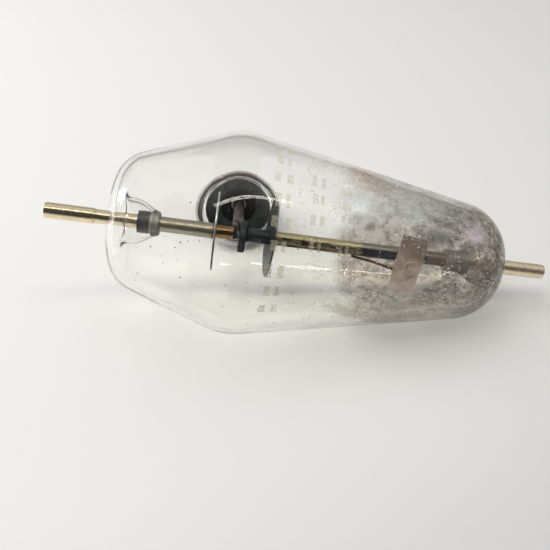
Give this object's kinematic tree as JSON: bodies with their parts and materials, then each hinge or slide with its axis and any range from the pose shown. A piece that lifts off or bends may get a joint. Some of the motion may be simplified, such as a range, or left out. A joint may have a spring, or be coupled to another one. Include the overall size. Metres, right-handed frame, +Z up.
{
  "type": "vacuum switch tube",
  "caption": "Double-cone glass vacuum switch tube with rod terminals at both ends, a side lever through a flexible diaphragm, facing contacts, arc shields and a getter.",
  "frame": {"origin": "under the middle of the bounding box, on the surface the tube lies on", "axes": "+Z up from the surface; +X along the tube towards its narrow end, which dips 10 degrees; +Y towards the side arm's lever"},
  "size_m": [0.1034, 0.0536, 0.0406],
  "materials": {
    "clear_glass": "clear blown glass with a grey getter film at the narrow end",
    "seal_alloy": "dark oxidised sealing alloy",
    "terminal_metal": "nickel-plated brass, worn and stained",
    "support_nickel": "satin nickel, finely ringed",
    "stained_support": "nickel with brown heat stains",
    "bronze_contact": "heat-tinted bronze",
    "dark_contact": "dark oxidised contact metal",
    "shield_steel": "blued sheet steel",
    "getter_nickel": "dull pinkish nickel",
    "getter_wire": "dark red-brown oxidised wire",
    "copper_seal": "copper sealed to glass",
    "cup_steel": "dark grey-green steel",
    "diaphragm_steel": "thin corrugated spring steel",
    "lever_metal": "pinkish grey nickel alloy"
  },
  "bodies": {
    "tube": {"glass_envelope": "clear_glass", "wide_end_stem": "clear_glass", "narrow_end_stem": "clear_glass", "wide_end_seal_sleeve": "seal_alloy", "narrow_end_seal_sleeve": "seal_alloy", "wide_end_terminal": "terminal_metal", "wide_end_ferrule": "terminal_metal", "narrow_end_terminal": "terminal_metal", "wide_end_support_tube": "support_nickel", "narrow_end_support_tube": "stained_support", "wide_end_contact": "bronze_contact", "wide_end_contact_tip": "dark_contact", "narrow_end_contact": "dark_contact", "wide_end_shield_collar": "bronze_contact", "wide_end_arc_shield": "shield_steel", "narrow_end_arc_shield": "shield_steel", "narrow_end_shield_collar": "stained_support", "getter_plate": "getter_nickel", "getter_cup": "getter_nickel", "getter_wire": "getter_wire", "side_seal_sleeve": "copper_seal", "side_cup": "cup_steel", "diaphragm_clamp_ring": "cup_steel", "diaphragm": "diaphragm_steel"},
    "lever": {"lever_hub": "lever_metal", "contact_arm": "lever_metal", "moving_contact": "dark_contact", "contact_bracket": "shield_steel", "operating_lever": "lever_metal"}
  },
  "joints": [
    {"name": "lever_swing", "type": "hinge", "parent": "tube", "child": "lever", "pos_m": [-0.01605, 0.01735, 0.00762], "axis": [-0.1525, -0.4778, -0.8651], "range_deg": [0, 1.4], "stiffness_Nm_per_rad": 0.5, "springref_deg": -1.15}
  ]
}
